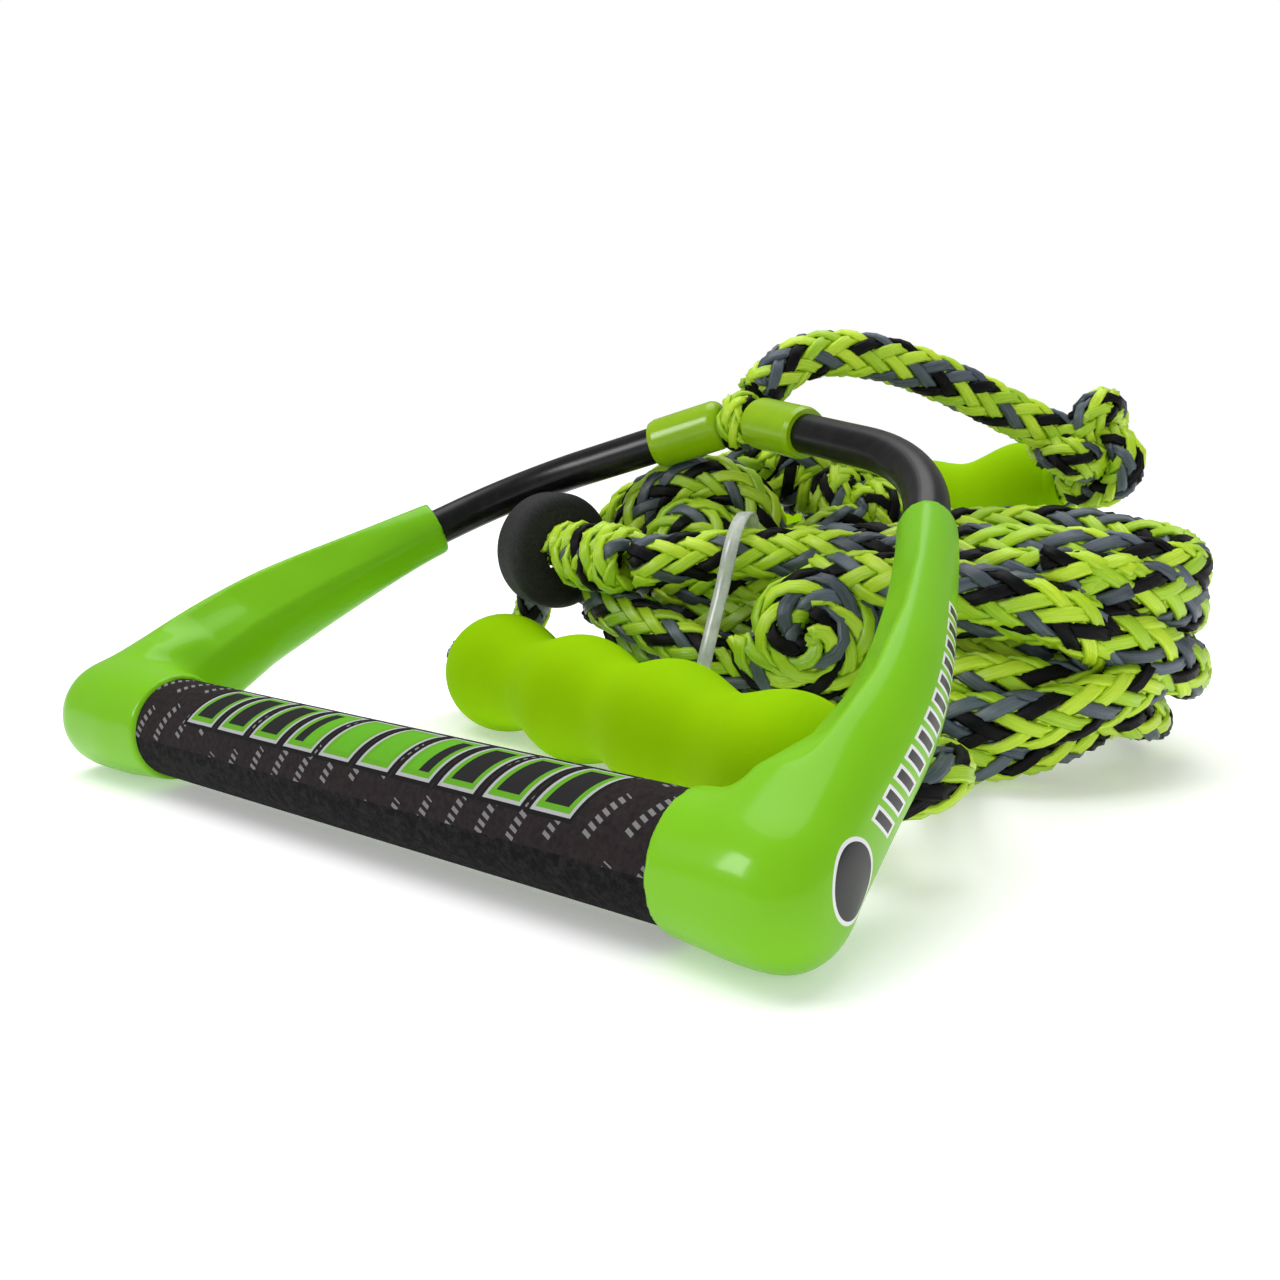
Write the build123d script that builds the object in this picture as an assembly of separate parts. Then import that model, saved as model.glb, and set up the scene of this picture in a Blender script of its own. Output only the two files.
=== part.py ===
"""Tow rope handle for wake surfing: a rope-bridled grip bar and its bundled line.

Lengths are millimetres. X runs along the grip bar, +Y points from the bar to the
apex of the bridle, +Z is up and z = 0 is the surface that everything lies on.
Every shape is first placed from the foot of the bar's axis (y = 0 under the bar);
"write" then moves it so that the handle's own box is centred on the origin.
"""
import os
from math import cos, pi, radians, sin, tan

from build123d import *

# ---------------------------------------------------------------- driving sizes
BAR_Z = 18.0            # height of the bar's axis: the end mouldings rest on the floor
BAR_OD = 25.4           # one inch aluminium tube
BAR_WALL = 1.6
BAR_HALF = 122.0        # half the bar's length
GRIP_SPAN = (-92.0, 102.0)  # the bare grip between the mouldings; it sits a little to the right
GRIP_OD = 30.0
GRIP_SKIN = 1.5         # thickness of the two outer grip panels
UNDER_PANEL_ANGLE = 120.0   # how far the rough under panel goes round the grip
UNDER_PANEL_TURN = 30.0     # its middle, turned forwards from straight down
BUNG_SPAN = (92.0, 104.0)   # from the bar's middle
SPLICE_R = 6.0          # where the bridle's two ends are joined, inside the bar
SPLICE_HALF = 24.0
CORE_CLEAR = 0.2        # between the foam core and the splice
END_X = 140.0           # outside face of an end moulding
BARREL_R = 18.0         # moulding round the bar
BARREL_MOUTH_R = 16.2   # it tapers to this at its mouth, over MOUTH_TAPER
MOUTH_TAPER = 18.0
BARREL_RIM_R = 13.0     # rounding of its outside end
LEAN_RIGHT = 30.4       # slope of each arm; the two sides sit a little twisted
LEAN_LEFT = 25.2
ARM_END = (100.0, 126.0)    # arm's end in its leaning plane: (x, distance up the slope)
ARM_KNEE = (120.0, 80.0)    # where the rope channel turns inside the arm
APEX = (165.5, 110.3)       # (y, z) of the bridle's cross strand
CROSS_HALF = 5.5            # half length of the straight cross strand
CORNER_X = 124.0            # where the bridle turns out of the bar into the arm
SHOULDER_RUN = 36.0         # from an arm's end on to the corner of its tube
KNEE_BEND_R = 60.0
SHOULDER_BEND_R = 66.0
APEX_BEND_R = 8.0
BRIDLE_D = 8.0
CHANNEL_D = 9.0
TUBE_OD = 13.0
TUBE_ID = 8.8
SLEEVE_OD = 17.5
SLEEVE_LENGTH = 27.5
SLEEVE_LIP = 5.0
SLEEVE_MOUTH_EDGE = (2.0, 0.6)  # chamfer of its open end: length, depth
SLEEVE_ROUND = 4.0
SLEEVE_GAP = 1.0        # from a sleeve's mouth to the end of the cross strand
SOCKET_DEPTH = 14.0
BAR_CORNER_R = 12.0     # the bridle's bend out of the bar into the arm
ROPE_D = 14.0           # the main line
BORE_R = 8.2            # holes that the line passes through freely
EYE_CLEAR = 0.4         # gap round the bridle inside the line's eye
EYE_HALF = 4.2
EYE_WALL = 5.4
EYE_ROUND = 2.0
NECK_D = 8.4            # from the eye to the line
FLOAT_ENDS = (-102.0, 98.0)     # along a float, from the valley at its middle
FLOAT_PITCH = 52.0      # distance between two finger bulges
FLOAT_R = (16.0, 21.0)  # valley and bulge
FLOAT_FACE_DROP = 7.0   # the flat of a float's end is this much inside its valley
DONUT_R = 21.0
DONUT_THICK = 16.0
DONUT_ROUND = 4.5
BARREL_KNOT_R = 13.0
BARREL_KNOT_ROUND = 6.0

FRONT_FLOAT_CENTRE = Vector(11.0, 88.3, 21.4)
FRONT_FLOAT_AXIS = Vector(0.950, -0.3125, 0.0)
BACK_FLOAT_CENTRE = Vector(-36.0, 330.0, 68.0)
BACK_FLOAT_AXIS = Vector(0.970, -0.166, 0.166)
FRONT_DONUT_CENTRE = Vector(-62.0, 136.0, 64.0)
FRONT_DONUT_AXIS = Vector(0.949, -0.284, 0.0)
BACK_DONUT_CENTRE = Vector(15.0, 221.0, 77.0)
BACK_DONUT_AXIS = Vector(0.75, 0.50, -0.43)
BALL_KNOT_CENTRE = Vector(77.0, 289.0, 100.0)
BALL_KNOT_R = 18.0

# The line's visible route from the bridle's apex up over and down to the ball knot.
TAIL_ROUTE = [
    (0, 174.8, 119.4),
    (3, 187, 130.0),
    (8, 199, 134.5),
    (17, 214, 135.0),
    (29, 231, 131.0),
    (45, 252, 121.0),
    (61, 271, 109.5),
    tuple(BALL_KNOT_CENTRE),
]
# From the ball knot into the back float's near end.
KNOT_LINK_ROUTE = [
    tuple(BALL_KNOT_CENTRE),
    (80.5, 299, 94.0),
    (75.5, 308.5, 88.0),
    (64.5, 312.8, 85.3),
]
# From the front float's near end, back under the arm to the bundle.
NEAR_LINK_ROUTE = [
    (107.0, 56.7, 21.4),
    (114.6, 54.6, 22.2),
    (121.8, 57.0, 23.6),
    (126.2, 63.0, 25.0),
    (126.0, 71.5, 25.5),
    (121, 80.5, 24.5),
    (113, 91, 22.0),
    (105, 104, 18.5),
    (98, 119, 14.5),
    (93, 134, 11.0),
    (89, 150, 8.5),
]
# From the front donut's far side, behind it and down into the front float's far end.
FAR_LINK_ROUTE = [
    (-70.5, 138.5, 64.0),
    (-79, 142, 62.0),
    (-87, 149, 54.0),
    (-91, 156, 43.0),
    (-95, 157, 31.0),
    (-102, 150, 23.0),
    (-107, 139, 21.6),
    (-102, 128, 21.4),
    (-89, 121.1, 21.4),
]
MIN_LIMP_BEND = 3.0     # in rope diameters

# Outlines of the wound line, seen from above: two round ends joined by straight sides.
BUNDLE_ENDS = ((84.0, 207.0, 62.0), (-12.0, 174.0, 38.0))
BUNDLE_BASE_TOP = 50.0
BUNDLE_TOP = 77.0
FRONT_RUN = ((10.0, 152.0), (98.0, 174.0), (116.0, 222.0))
FRONT_RUN_R = 15.0
BUNDLE_ROUND = 9.0
KNOT_PILE_CENTRE = (-18.0, 178.0, 69.0)
KNOT_PILE_SIZE = (62.0, 38.0, 38.0)
KNOT_PILE_TURN = 20.0
REAR_COIL_ENDS = ((34.0, 322.0, 30.0), (-66.0, 336.0, 30.0))
REAR_COIL_TOP = 40.0
REAR_COIL_ROUND = 7.0
BOAT_LOOP_CENTRE = Vector(-118.0, 305.0, 7.2)
BOAT_LOOP_R = 26.0
TIE_CENTRE = Vector(4.3, 163.2, 39.7)
TIE_WAY = Vector(0.946, 0.325, 0)   # along the bundle, square to the tie
TIE_AROUND = (67.0, 79.0)   # across and up
TIE_CORNER_R = 14.0
TIE_WIDE = 5.0
TIE_THICK = 1.0

parts = {}


# ---------------------------------------------------------------- helpers
def lean_plane(angle):
    """The plane that an arm lies in: it holds the bar's axis and slopes up by angle."""
    slope = radians(angle)
    return Plane(origin=(0, 0, BAR_Z), x_dir=(1, 0, 0), z_dir=(0, -sin(slope), cos(slope)))


def in_lean(point, side):
    """A point (x, distance up the slope) of an arm as a place in space."""
    slope = radians(LEAN_RIGHT if side > 0 else LEAN_LEFT)
    x, rise = point
    return Vector(side * x, rise * cos(slope), BAR_Z + rise * sin(slope))


def tube(path, outer, inner=0.0):
    """A round tube, or a rod where inner is 0, along a path of lines and arcs."""
    start = Plane(origin=path @ 0, z_dir=path % 0)
    section = Circle(outer / 2)
    if inner:
        section -= Circle(inner / 2)
    return sweep(start * section, path)


def corner_radii(points):
    """One large arc for each corner of a cord's route."""
    radii = []
    points = [Vector(*p) if not isinstance(p, Vector) else p for p in points]
    for before, here, after in zip(points, points[1:], points[2:]):
        turn = radians((here - before).get_angle(after - here))
        run = min((here - before).length, (after - here).length)
        radii.append(0.45 * run / tan(turn / 2))
    return radii


def cord_tube(name, route):
    """The plain solid of a free stretch of the line; its bends and volume are printed."""
    radii = corner_radii(route)
    path = FilletPolyline(*route, radius=radii)
    solid = tube(path, ROPE_D)
    expected = pi * (ROPE_D / 2) ** 2 * path.length
    tightest = min(radii) / ROPE_D
    print(f"{name}: radii {[round(r) for r in radii]} mm, tightest {tightest:.1f} diameters,"
          f" length {path.length:.0f} mm, volume ratio {solid.volume / expected:.3f}")
    if tightest < MIN_LIMP_BEND:
        print(f"{name}: has a bend under {MIN_LIMP_BEND} diameters at an exit")
    return solid


def turned(profile_points, fillets, centre, axis):
    """Revolve an outline (distance along the axis, radius) and stand it on an axis."""
    outline = Polyline(*[(s, r) for s, r in profile_points], close=True)
    face = make_face(outline)
    for index, radius in fillets:
        corner = Vector(*profile_points[index])
        vertex = face.vertices().sort_by_distance(corner)[0]
        face = fillet(vertex, radius)
    solid = revolve(face, Axis.X)
    return stand(solid, centre, axis)


def stand(solid, centre, axis):
    """Turn a solid made along X so that it lies on an axis through centre."""
    return Plane(origin=centre, x_dir=axis, z_dir=axis.cross(Vector(0, 0, 1)).cross(axis)) * solid


def rounded_block(ends, low, high, round_by):
    """A wound hank's outer shape: the hull of two circles, with rounded rims."""
    (xa, ya, ra), (xb, yb, rb) = ends
    outline = make_hull((Pos(xa, ya) * Circle(ra)).edges() + (Pos(xb, yb) * Circle(rb)).edges())
    block = extrude(Pos(0, 0, low) * outline, high - low)
    rims = block.edges().group_by(Axis.Z)
    return fillet(rims[0] + rims[-1], round_by) if round_by else block


# ---------------------------------------------------------------- the grip bar
def along_x(low, high, outer_r, inner_r=0.0):
    ring = Circle(outer_r) - Circle(inner_r) if inner_r else Circle(outer_r)
    return Pos(0, 0, BAR_Z) * (Plane.YZ.offset(low) * extrude(ring, high - low))


def make_bar():
    bar_r = BAR_OD / 2
    inside_r = bar_r - BAR_WALL
    grip_r = GRIP_OD / 2
    bung_low, bung_high = BUNG_SPAN
    parts["bar_tube"] = along_x(-BAR_HALF, BAR_HALF, bar_r, inside_r)
    parts["bar_foam_core"] = along_x(-bung_low, bung_low, inside_r, SPLICE_R + CORE_CLEAR)
    for side, name in ((-1, "left"), (1, "right")):
        low, high = sorted((side * bung_low, side * bung_high))
        parts[f"{name}_bar_bung"] = along_x(low, high, inside_r, CHANNEL_D / 2)
    parts["bridle_splice"] = along_x(-SPLICE_HALF, SPLICE_HALF, SPLICE_R, BRIDLE_D / 2)
    parts["grip_foam"] = along_x(*GRIP_SPAN, grip_r - GRIP_SKIN, bar_r)
    skin = along_x(*GRIP_SPAN, grip_r, grip_r - GRIP_SKIN)
    reach = 2 * GRIP_OD
    half = reach * tan(radians(UNDER_PANEL_ANGLE / 2))
    wedge = make_face(Polyline((0, 0), (-half, -reach), (half, -reach), close=True))
    wedge = Rot(0, 0, -UNDER_PANEL_TURN) * wedge
    left, right = GRIP_SPAN
    under = Pos(0, 0, BAR_Z) * (Plane.YZ.offset(left) * extrude(wedge, right - left))
    parts["grip_under_panel"] = skin & under
    parts["grip_top_panel"] = skin - under


# ---------------------------------------------------------------- mouldings and bridle
ARM_SECTIONS = [        # (x, up the slope, half width, half thickness, heading)
    (122.5, 4.0, 16.5, 17.0, 90.0),
    (124.0, 30.0, 13.8, 17.6, 92.0),
    (123.8, 51.0, 12.0, 16.6, 99.0),
    (118.6, 76.0, 10.2, 14.4, 106.0),
    (111.0, 99.0, 8.9, 12.0, 111.0),
    (ARM_END[0], ARM_END[1], 8.2, 9.8, 113.5),
]


def bridle_points(side):
    """The right or left half of the bridle rope's route, from the bar to the apex."""
    knee = in_lean(ARM_KNEE, side)
    end = in_lean(ARM_END, side)
    shoulder = end + (end - knee).normalized() * SHOULDER_RUN
    apex_end = Vector(side * CROSS_HALF, *APEX)
    corner = Vector(side * CORNER_X, 0, BAR_Z)
    return corner, knee, end, shoulder, apex_end


def make_moulding(side, name):
    plane = lean_plane(LEAN_RIGHT if side > 0 else LEAN_LEFT)
    corner, knee, end, shoulder, _ = bridle_points(side)
    sections = []
    for x, rise, half_width, half_thick, heading in ARM_SECTIONS:
        way = Vector(cos(radians(heading)), sin(radians(heading)), 0)
        frame = Plane(origin=(x, rise, 0), x_dir=(way.Y, -way.X, 0), z_dir=way)
        sections.append(frame * Ellipse(half_width, half_thick))
    arm = loft(sections)
    mouth = abs(GRIP_SPAN[1] if side > 0 else GRIP_SPAN[0])
    barrel_profile = [(mouth, 0), (mouth, BARREL_MOUTH_R), (mouth + MOUTH_TAPER, BARREL_R),
                      (END_X, BARREL_R), (END_X, 0)]
    face = make_face(Polyline(*barrel_profile, close=True))
    rim = face.vertices().sort_by_distance(Vector(END_X, BARREL_R))[0]
    barrel = revolve(fillet(rim, BARREL_RIM_R), Axis.X)
    body = plane * (arm + barrel) if side > 0 else plane * mirror(arm + barrel, Plane.YZ)
    low, high = sorted((side * (mouth - 1), side * BAR_HALF))
    body -= along_x(low, high, BAR_OD / 2)
    start = Vector(side * BUNG_SPAN[1], 0, BAR_Z)
    channel = FilletPolyline(start, corner, knee, shoulder, radius=[BAR_CORNER_R, KNEE_BEND_R])
    body -= tube(channel, CHANNEL_D)
    along = (shoulder - knee).normalized()
    socket = Line(end - along * SOCKET_DEPTH, end + along * 5)
    body -= tube(socket, TUBE_OD)
    parts[f"{name}_end_moulding"] = body


def make_bridle_side(side, name):
    _, knee, end, shoulder, apex_end = bridle_points(side)
    arm_way = (shoulder - knee).normalized()
    apex_way = (apex_end - shoulder).normalized()
    mouth = apex_end - apex_way * SLEEVE_GAP
    route = FilletPolyline(end - arm_way * SOCKET_DEPTH, shoulder,
                           mouth - apex_way * SLEEVE_LIP, radius=SHOULDER_BEND_R)
    parts[f"{name}_bridle_tube"] = tube(route, TUBE_OD, TUBE_ID)
    outer = SLEEVE_OD / 2
    edge, depth = SLEEVE_MOUTH_EDGE
    outline = [(0, TUBE_ID / 2), (0, outer - depth), (edge, outer), (SLEEVE_LENGTH, outer),
               (SLEEVE_LENGTH, TUBE_ID / 2)]
    sleeve = turned(outline, [(3, SLEEVE_ROUND)], mouth - apex_way * SLEEVE_LENGTH, apex_way)
    socket = Line(mouth - apex_way * (SLEEVE_LENGTH + 1), mouth - apex_way * SLEEVE_LIP)
    parts[f"{name}_apex_sleeve"] = sleeve - tube(socket, TUBE_OD)


def make_bridle_rope():
    half_gap = 0.5      # between its two ends, inside the splice
    right = bridle_points(1)
    left = bridle_points(-1)
    points = [Vector(half_gap, 0, BAR_Z), right[0], right[1], right[3], right[4],
              left[4], left[3], left[1], left[0], Vector(-half_gap, 0, BAR_Z)]
    bends = [BAR_CORNER_R, KNEE_BEND_R, SHOULDER_BEND_R, APEX_BEND_R]
    path = FilletPolyline(*points, radius=bends + bends[::-1])
    parts["bridle_rope"] = tube(path, BRIDLE_D)


# ---------------------------------------------------------------- the line and what is on it
def make_tail():
    eye_r = BRIDLE_D / 2 + EYE_CLEAR
    centre = Vector(0, *APEX)
    outline = [(-EYE_HALF, eye_r), (-EYE_HALF, eye_r + EYE_WALL), (EYE_HALF, eye_r + EYE_WALL),
               (EYE_HALF, eye_r)]
    eye = turned(outline, [(1, EYE_ROUND), (2, EYE_ROUND)], centre, Vector(1, 0, 0))
    neck_way = (Vector(*TAIL_ROUTE[0]) - centre).normalized()
    neck = Line(centre + neck_way * (eye_r + EYE_WALL / 2), Vector(*TAIL_ROUTE[0]))
    parts["line_eye"] = eye + tube(neck, NECK_D)
    parts["tail_rope"] = cord_tube("tail_rope", TAIL_ROUTE)
    parts["ball_knot"] = Pos(BALL_KNOT_CENTRE) * Sphere(BALL_KNOT_R)


def float_solid(centre, axis):
    """A foam float: finger bulges between valleys, with rounded ends and a bore."""
    valley, bulge = FLOAT_R
    low, high = FLOAT_ENDS
    face_r = valley - FLOAT_FACE_DROP
    outline = [(low + 3, valley - 3)]
    for step in range(-3, 4):
        outline.append((step * FLOAT_PITCH / 2, bulge if step % 2 else valley))
    outline.append((high - 3, valley - 3))
    edges = [
        Line((low, BORE_R), (low, face_r)),
        ThreePointArc((low, face_r), (low + 0.8, valley - 4.6), outline[0]),
        Spline(*outline),
        ThreePointArc(outline[-1], (high - 0.8, valley - 4.6), (high, face_r)),
        Line((high, face_r), (high, BORE_R)),
        Line((high, BORE_R), (low, BORE_R)),
    ]
    return stand(revolve(make_face(Curve(edges)), Axis.X), centre, axis)


def donut_solid(centre, axis):
    half = DONUT_THICK / 2
    outline = [(-half, BORE_R), (-half, DONUT_R), (half, DONUT_R), (half, BORE_R)]
    return turned(outline, [(1, DONUT_ROUND), (2, DONUT_ROUND)], centre, axis)


def barrel_knot(centre, axis, length):
    radius = BARREL_KNOT_R
    outline = [(-length / 2, 0), (-length / 2, radius), (length / 2, radius), (length / 2, 0)]
    return turned(outline, [(1, BARREL_KNOT_ROUND), (2, BARREL_KNOT_ROUND)], centre, axis)


def straight_rope(centre, axis, low, high):
    return tube(Line(centre + axis * low, centre + axis * high), ROPE_D)


def make_line():
    front = FRONT_FLOAT_AXIS.normalized()
    back = BACK_FLOAT_AXIS.normalized()
    parts["front_float"] = float_solid(FRONT_FLOAT_CENTRE, front)
    low, high = FLOAT_ENDS
    parts["front_float_rope"] = straight_rope(FRONT_FLOAT_CENTRE, front, low - 3, high + 3)
    parts["near_link_rope"] = cord_tube("near_link_rope", NEAR_LINK_ROUTE)
    parts["far_link_rope"] = cord_tube("far_link_rope", FAR_LINK_ROUTE)
    parts["back_float"] = float_solid(BACK_FLOAT_CENTRE, back)
    parts["back_float_rope"] = straight_rope(BACK_FLOAT_CENTRE, back, low - 8, high + 5)
    parts["knot_link_rope"] = cord_tube("knot_link_rope", KNOT_LINK_ROUTE)
    parts["back_float_knot"] = barrel_knot(BACK_FLOAT_CENTRE + back * (low - 16), back, 28)

    donut = FRONT_DONUT_AXIS.normalized()
    parts["front_donut"] = donut_solid(FRONT_DONUT_CENTRE, donut)
    parts["front_donut_rope"] = straight_rope(FRONT_DONUT_CENTRE, donut, -9, 12)
    parts["front_barrel_knot"] = barrel_knot(FRONT_DONUT_CENTRE + donut * 31.5, donut, 44)
    donut = BACK_DONUT_AXIS.normalized()
    parts["back_donut"] = donut_solid(BACK_DONUT_CENTRE, donut)
    parts["back_donut_rope"] = straight_rope(BACK_DONUT_CENTRE, donut, -14, 9)
    parts["back_barrel_knot"] = barrel_knot(BACK_DONUT_CENTRE - donut * 24.5, donut, 30)


def make_bundle():
    parts["bundle_base"] = rounded_block(BUNDLE_ENDS, 0, BUNDLE_BASE_TOP, BUNDLE_ROUND)
    runs = None
    for (xa, ya), (xb, yb) in zip(FRONT_RUN, FRONT_RUN[1:]):
        run = rounded_block(((xa, ya, FRONT_RUN_R), (xb, yb, FRONT_RUN_R)), BUNDLE_BASE_TOP,
                            BUNDLE_TOP, 0)
        runs = run if runs is None else runs + run
    parts["bundle_crown"] = runs
    pile = Pos(*KNOT_PILE_CENTRE) * Rot(0, 0, KNOT_PILE_TURN) * Box(*KNOT_PILE_SIZE)
    parts["knot_pile"] = fillet(pile.edges(), BUNDLE_ROUND)
    parts["rear_coil"] = rounded_block(REAR_COIL_ENDS, 0, REAR_COIL_TOP, REAR_COIL_ROUND)
    parts["boat_loop"] = Pos(BOAT_LOOP_CENTRE) * Torus(BOAT_LOOP_R, ROPE_D / 2)


def make_tie():
    """The clear band that holds the bundle, as a flat ring round its section."""
    plane = Plane(origin=TIE_CENTRE, x_dir=TIE_WAY.cross(Vector(0, 0, 1)), z_dir=TIE_WAY)
    across, up = TIE_AROUND
    inside = (across - 2 * TIE_THICK, up - 2 * TIE_THICK, TIE_CORNER_R - TIE_THICK)
    ring = RectangleRounded(across, up, TIE_CORNER_R) - RectangleRounded(*inside)
    parts["tie_band"] = plane * extrude(ring, TIE_WIDE / 2, both=True)


# ---------------------------------------------------------------- build and write
make_bar()
for side, name in ((-1, "left"), (1, "right")):
    make_moulding(side, name)
    make_bridle_side(side, name)
make_bridle_rope()
HANDLE = list(parts)
make_tail()
make_line()
make_bundle()
make_tie()

boxes = [parts[name].bounding_box() for name in HANDLE]
middle_y = (min(b.min.Y for b in boxes) + max(b.max.Y for b in boxes)) / 2
print(f"bar axis at y = {-middle_y:.3f} in the written frame")
print(f"handle from x {min(b.min.X for b in boxes):.2f} to {max(b.max.X for b in boxes):.2f},"
      f" lowest {min(b.min.Z for b in boxes):.3f}, highest {max(b.max.Z for b in boxes):.2f}")
os.makedirs("parts", exist_ok=True)
for name, solid in parts.items():
    export_step(Pos(0, -middle_y, 0) * solid, f"parts/{name}.step")
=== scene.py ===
"""The looks of the tow rope handle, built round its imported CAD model. Its sizes and places are
written in millimetres, and at() or MM turns them into Blender's metres. The lights' places, the
cords' lengths and the materials' fine grain are in metres. Places are measured, as in the CAD
source, from the foot of the bar's axis: +X along the bar, +Y towards the bridle's apex, +Z up."""
import math

import bmesh
import bpy
import numpy as np
from mathutils import Matrix, Vector


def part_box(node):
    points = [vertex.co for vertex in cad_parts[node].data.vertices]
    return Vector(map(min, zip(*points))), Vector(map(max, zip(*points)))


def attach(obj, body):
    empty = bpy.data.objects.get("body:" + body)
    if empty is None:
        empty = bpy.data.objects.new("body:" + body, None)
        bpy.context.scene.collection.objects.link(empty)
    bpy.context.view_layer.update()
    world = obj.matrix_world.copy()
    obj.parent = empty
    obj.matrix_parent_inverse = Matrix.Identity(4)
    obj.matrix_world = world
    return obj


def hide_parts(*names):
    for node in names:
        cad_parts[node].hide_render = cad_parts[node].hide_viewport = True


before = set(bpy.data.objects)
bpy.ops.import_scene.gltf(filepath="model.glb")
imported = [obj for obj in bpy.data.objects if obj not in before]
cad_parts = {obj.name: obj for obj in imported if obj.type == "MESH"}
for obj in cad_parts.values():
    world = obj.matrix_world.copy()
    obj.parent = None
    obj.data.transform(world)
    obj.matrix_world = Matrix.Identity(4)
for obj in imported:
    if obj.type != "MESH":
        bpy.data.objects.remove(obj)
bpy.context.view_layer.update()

MM = 0.001
BAR_LOW, BAR_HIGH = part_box("bar_tube")
FOOT = Vector(((BAR_LOW.x + BAR_HIGH.x) / 2, (BAR_LOW.y + BAR_HIGH.y) / 2, 0))
BAR_HEIGHT = round((BAR_LOW.z + BAR_HIGH.z) / 2 / MM, 3)

# The two mouldings: the way out along X, each arm's slope in degrees, and how far from the bar's
# middle the mouth is that takes the grip.
OUTWARD = {"right": 1, "left": -1}
LEAN = {"right": 30.4, "left": 25.2}
MOUTH_X = {"right": 102, "left": 92}
# Sections up an arm: distance up its slope, middle along the bar, half width and half thickness.
ARM = np.array(((4, 122.5, 16.5, 17), (30, 124, 13.8, 17.6), (51, 123.8, 12, 16.6), (76, 118.6, 10.2, 14.4),
                (99, 111, 8.9, 12), (126, 100, 8.2, 9.8)))


def at(x, y, z):
    """A place in millimetres from the foot of the bar's axis, as metres in the frame."""
    return FOOT + Vector((x, y, z)) * MM


def add_object(name, data):
    thing = bpy.data.objects.new(name, data)
    bpy.context.scene.collection.objects.link(thing)
    return thing


# ---------------------------------------------------------------- camera, lights, floor
def make_camera():
    azimuth, elevation = math.radians(39.0), math.radians(9.5)
    sensor, lens = 36, 36.5625      # millimetres
    data = bpy.data.cameras.new("camera")
    data.sensor_width = sensor
    data.lens = lens
    data.clip_start = 0.01
    camera = add_object("camera", data)
    camera.location = at(261, -213, 110)
    camera.rotation_euler = (math.pi / 2 - elevation, 0, azimuth)
    bpy.context.scene.camera = camera


def make_floor():
    reach, depth = 6.0, 0.0004      # its top lies a hair under what rests on it
    corners = ((-reach, -reach), (reach, -reach), (reach, reach), (-reach, reach))
    mesh = bpy.data.meshes.new("floor")
    mesh.from_pydata([(x, y, -depth) for x, y in corners], [], [(0, 1, 2, 3)])
    floor = add_object("floor", mesh)
    material = bpy.data.materials.new("floor_white")
    material.use_nodes = True
    shader = material.node_tree.nodes["Principled BSDF"]
    shader.inputs["Base Color"].default_value = (0.93, 0.93, 0.93, 1)
    shader.inputs["Roughness"].default_value = 0.55
    shader.inputs["Specular IOR Level"].default_value = 0.2
    shader.inputs["Emission Color"].default_value = (1, 1, 1, 1)
    shader.inputs["Emission Strength"].default_value = 0.30
    mesh.materials.append(material)


def make_light(name, offset, size, watts, is_glint=False):
    """An area light that looks at the middle of the object. A glint shows in glossy surfaces and
    lights nothing else; any other light doesn't show in them."""
    middle = at(0, 120, 50)
    place = middle + Vector(offset)
    data = bpy.data.lights.new(name, "AREA")
    data.shape = "RECTANGLE"
    data.size, data.size_y = size
    data.energy = watts
    light = add_object(name, data)
    light.location = place
    light.rotation_euler = (middle - place).to_track_quat("-Z", "Y").to_euler()
    light.visible_glossy = is_glint
    light.visible_diffuse = not is_glint


def make_overhead():
    """A broad, soft sun, a little off the vertical."""
    data = bpy.data.lights.new("overhead", "SUN")
    data.energy = 1.5
    data.angle = math.radians(50)
    sun = add_object("overhead", data)
    sun.rotation_euler = (math.radians(-14), math.radians(-10), 0)


def make_backdrop():
    """A world that the camera sees at full white, and that lights the object less."""
    world = bpy.data.worlds.new("world")
    world.use_nodes = True
    nodes, links = world.node_tree.nodes, world.node_tree.links
    background = nodes["Background"]
    background.inputs["Color"].default_value = (1, 1, 1, 1)
    seen = nodes.new("ShaderNodeLightPath").outputs["Is Camera Ray"]
    strength = nodes.new("ShaderNodeMapRange")
    strength.inputs["To Min"].default_value = 0.36
    strength.inputs["To Max"].default_value = 1.0
    links.new(seen, strength.inputs["Value"])
    links.new(strength.outputs[0], background.inputs["Strength"])
    bpy.context.scene.world = world
    bpy.context.scene.view_settings.view_transform = "Standard"


make_camera()
make_floor()
make_light("key", offset=(-0.45, -0.45, 1.15), size=(0.8, 0.6), watts=7)
make_light("glint", offset=(-0.48, -1.05, 0.60), size=(0.36, 0.50), watts=9, is_glint=True)
make_light("fill", offset=(1.2, -0.9, 0.55), size=(0.9, 0.7), watts=3.2)
make_light("back", offset=(-0.2, 1.3, 0.9), size=(1.2, 0.7), watts=5)
make_overhead()
make_backdrop()


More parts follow.
